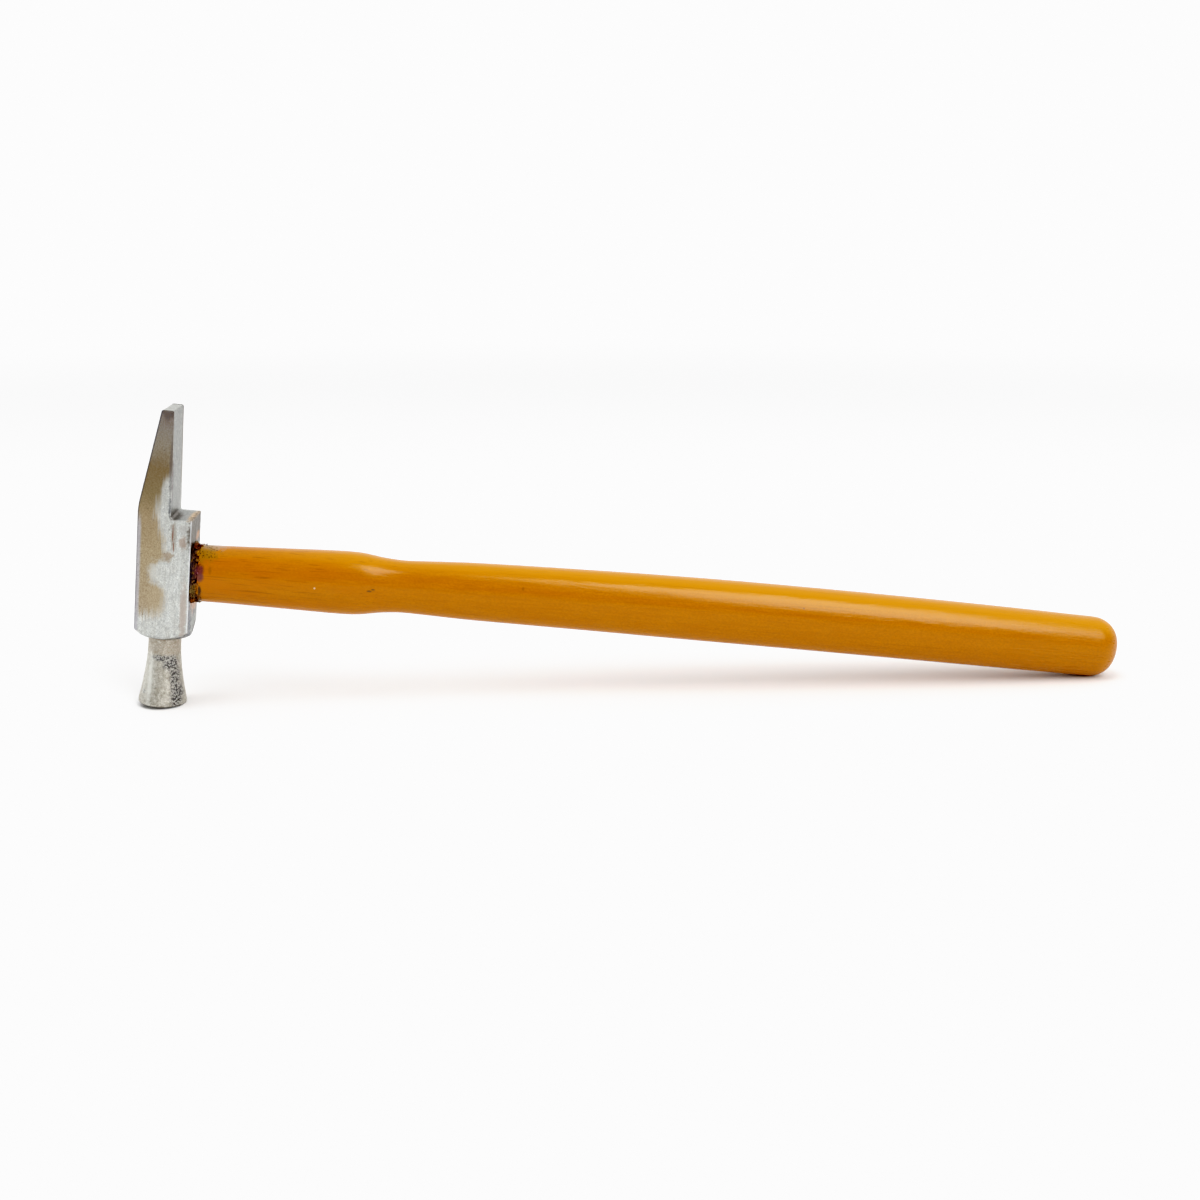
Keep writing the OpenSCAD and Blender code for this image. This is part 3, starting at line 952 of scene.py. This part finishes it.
# Floor
# A plain matt white sheet that the hammer lies on. It fades out well away from the hammer, so
# that no edge shows.
floor_size = 12
fade_from = 0.6
fade_to = 1.5
bpy.ops.mesh.primitive_plane_add(size=floor_size)
floor = bpy.context.active_object
floor.name = "floor"
white = bpy.data.materials.new("white_floor")
white.use_nodes = True
tree = white.node_tree
tree.nodes.clear()
matt = add(tree, "ShaderNodeBsdfDiffuse", {"Color": (0.87, 0.87, 0.87, 1)})
where = add(tree, "ShaderNodeTexCoord")
middle = add(tree, "ShaderNodeVectorMath", {0: where.outputs["Object"]}, operation="LENGTH")
open_air = add(tree, "ShaderNodeBsdfTransparent")
fade = step(tree, middle.outputs["Value"], fade_from, fade_to)
inputs = {0: fade, 1: matt.outputs[0], 2: open_air.outputs[0]}
fading = add(tree, "ShaderNodeMixShader", inputs)
add(tree, "ShaderNodeOutputMaterial", {"Surface": fading.outputs[0]})
floor.data.materials.append(white)

# Light
# A white room, greyer in front so that the steel has something to reflect, a tall softbox at the
# front right and a weak soft light above that makes no highlight.
world = bpy.data.worlds.new("studio")
bpy.context.scene.world = world
world.use_nodes = True
tree = world.node_tree
tree.nodes.clear()
direction = add(tree, "ShaderNodeTexCoord").outputs["Generated"]
parts = add(tree, "ShaderNodeSeparateXYZ", {0: direction})
front = step(tree, parts.outputs["Y"], 0.1, -0.5)
surround = over(tree, front, (1, 1, 1, 1), (0.35, 0.35, 0.35, 1))
lit = add(tree, "ShaderNodeBackground", {"Color": surround, "Strength": 1.0})
seen = add(tree, "ShaderNodeBackground", {"Color": (1, 1, 1, 1), "Strength": 1.1})
ray = add(tree, "ShaderNodeLightPath")
inputs = {0: ray.outputs["Is Camera Ray"], 1: lit.outputs[0], 2: seen.outputs[0]}
both = add(tree, "ShaderNodeMixShader", inputs)
add(tree, "ShaderNodeOutputWorld", {"Surface": both.outputs[0]})


def soft_light(place, width, height, energy, aim):
    """A flat rectangular light, turned to face a point."""
    bpy.ops.object.light_add(type="AREA", location=place)
    light = bpy.context.active_object
    light.data.shape = "RECTANGLE"
    light.data.size = width
    light.data.size_y = height
    light.data.energy = energy
    light.rotation_euler = (Vector(aim) - Vector(place)).to_track_quat("-Z", "Y").to_euler()
    return light


soft_light((0.79, -1.24, 1.28), 0.95, 1.6, 22, aim=(0.05, 0, 0.02))
top_light = soft_light((-0.5, -0.3, 1.5), 0.9, 0.9, 8, aim=(-0.1, 0, 0.02))
top_light.visible_glossy = False

# Camera
# It looks down a little at the hammer from the front, with the head on the left. The tone curve
# keeps the white floor just short of pure white.
camera_data = bpy.data.cameras.new("camera")
camera_data.sensor_width = 36
camera_data.lens = 42.08
camera_data.clip_start = 0.01
camera = bpy.data.objects.new("camera", camera_data)
camera.location = (-0.0511, -0.3901, 0.1323)
camera.rotation_euler = (math.radians(90 - 15.01), math.radians(-0.07), math.radians(-5.62))
bpy.context.scene.collection.objects.link(camera)
bpy.context.scene.camera = camera
view = bpy.context.scene.view_settings
view.view_transform = "Standard"
view.use_curve_mapping = True
white_level = 1.1
view.curve_mapping.white_level = (white_level, white_level, white_level)
tone = view.curve_mapping.curves[3].points
tone[0].location = (0, 0)
tone[-1].location = (1, 0.974)
tone_curve = [
    (0.05, 0.006), (0.12, 0.072), (0.25, 0.215), (0.5, 0.49), (0.8, 0.81), (0.92, 0.93),
    (1.0, 0.965),
]
for shown_in, shown_out in tone_curve:
    tone.new(shown_in / white_level, shown_out)
view.curve_mapping.update()
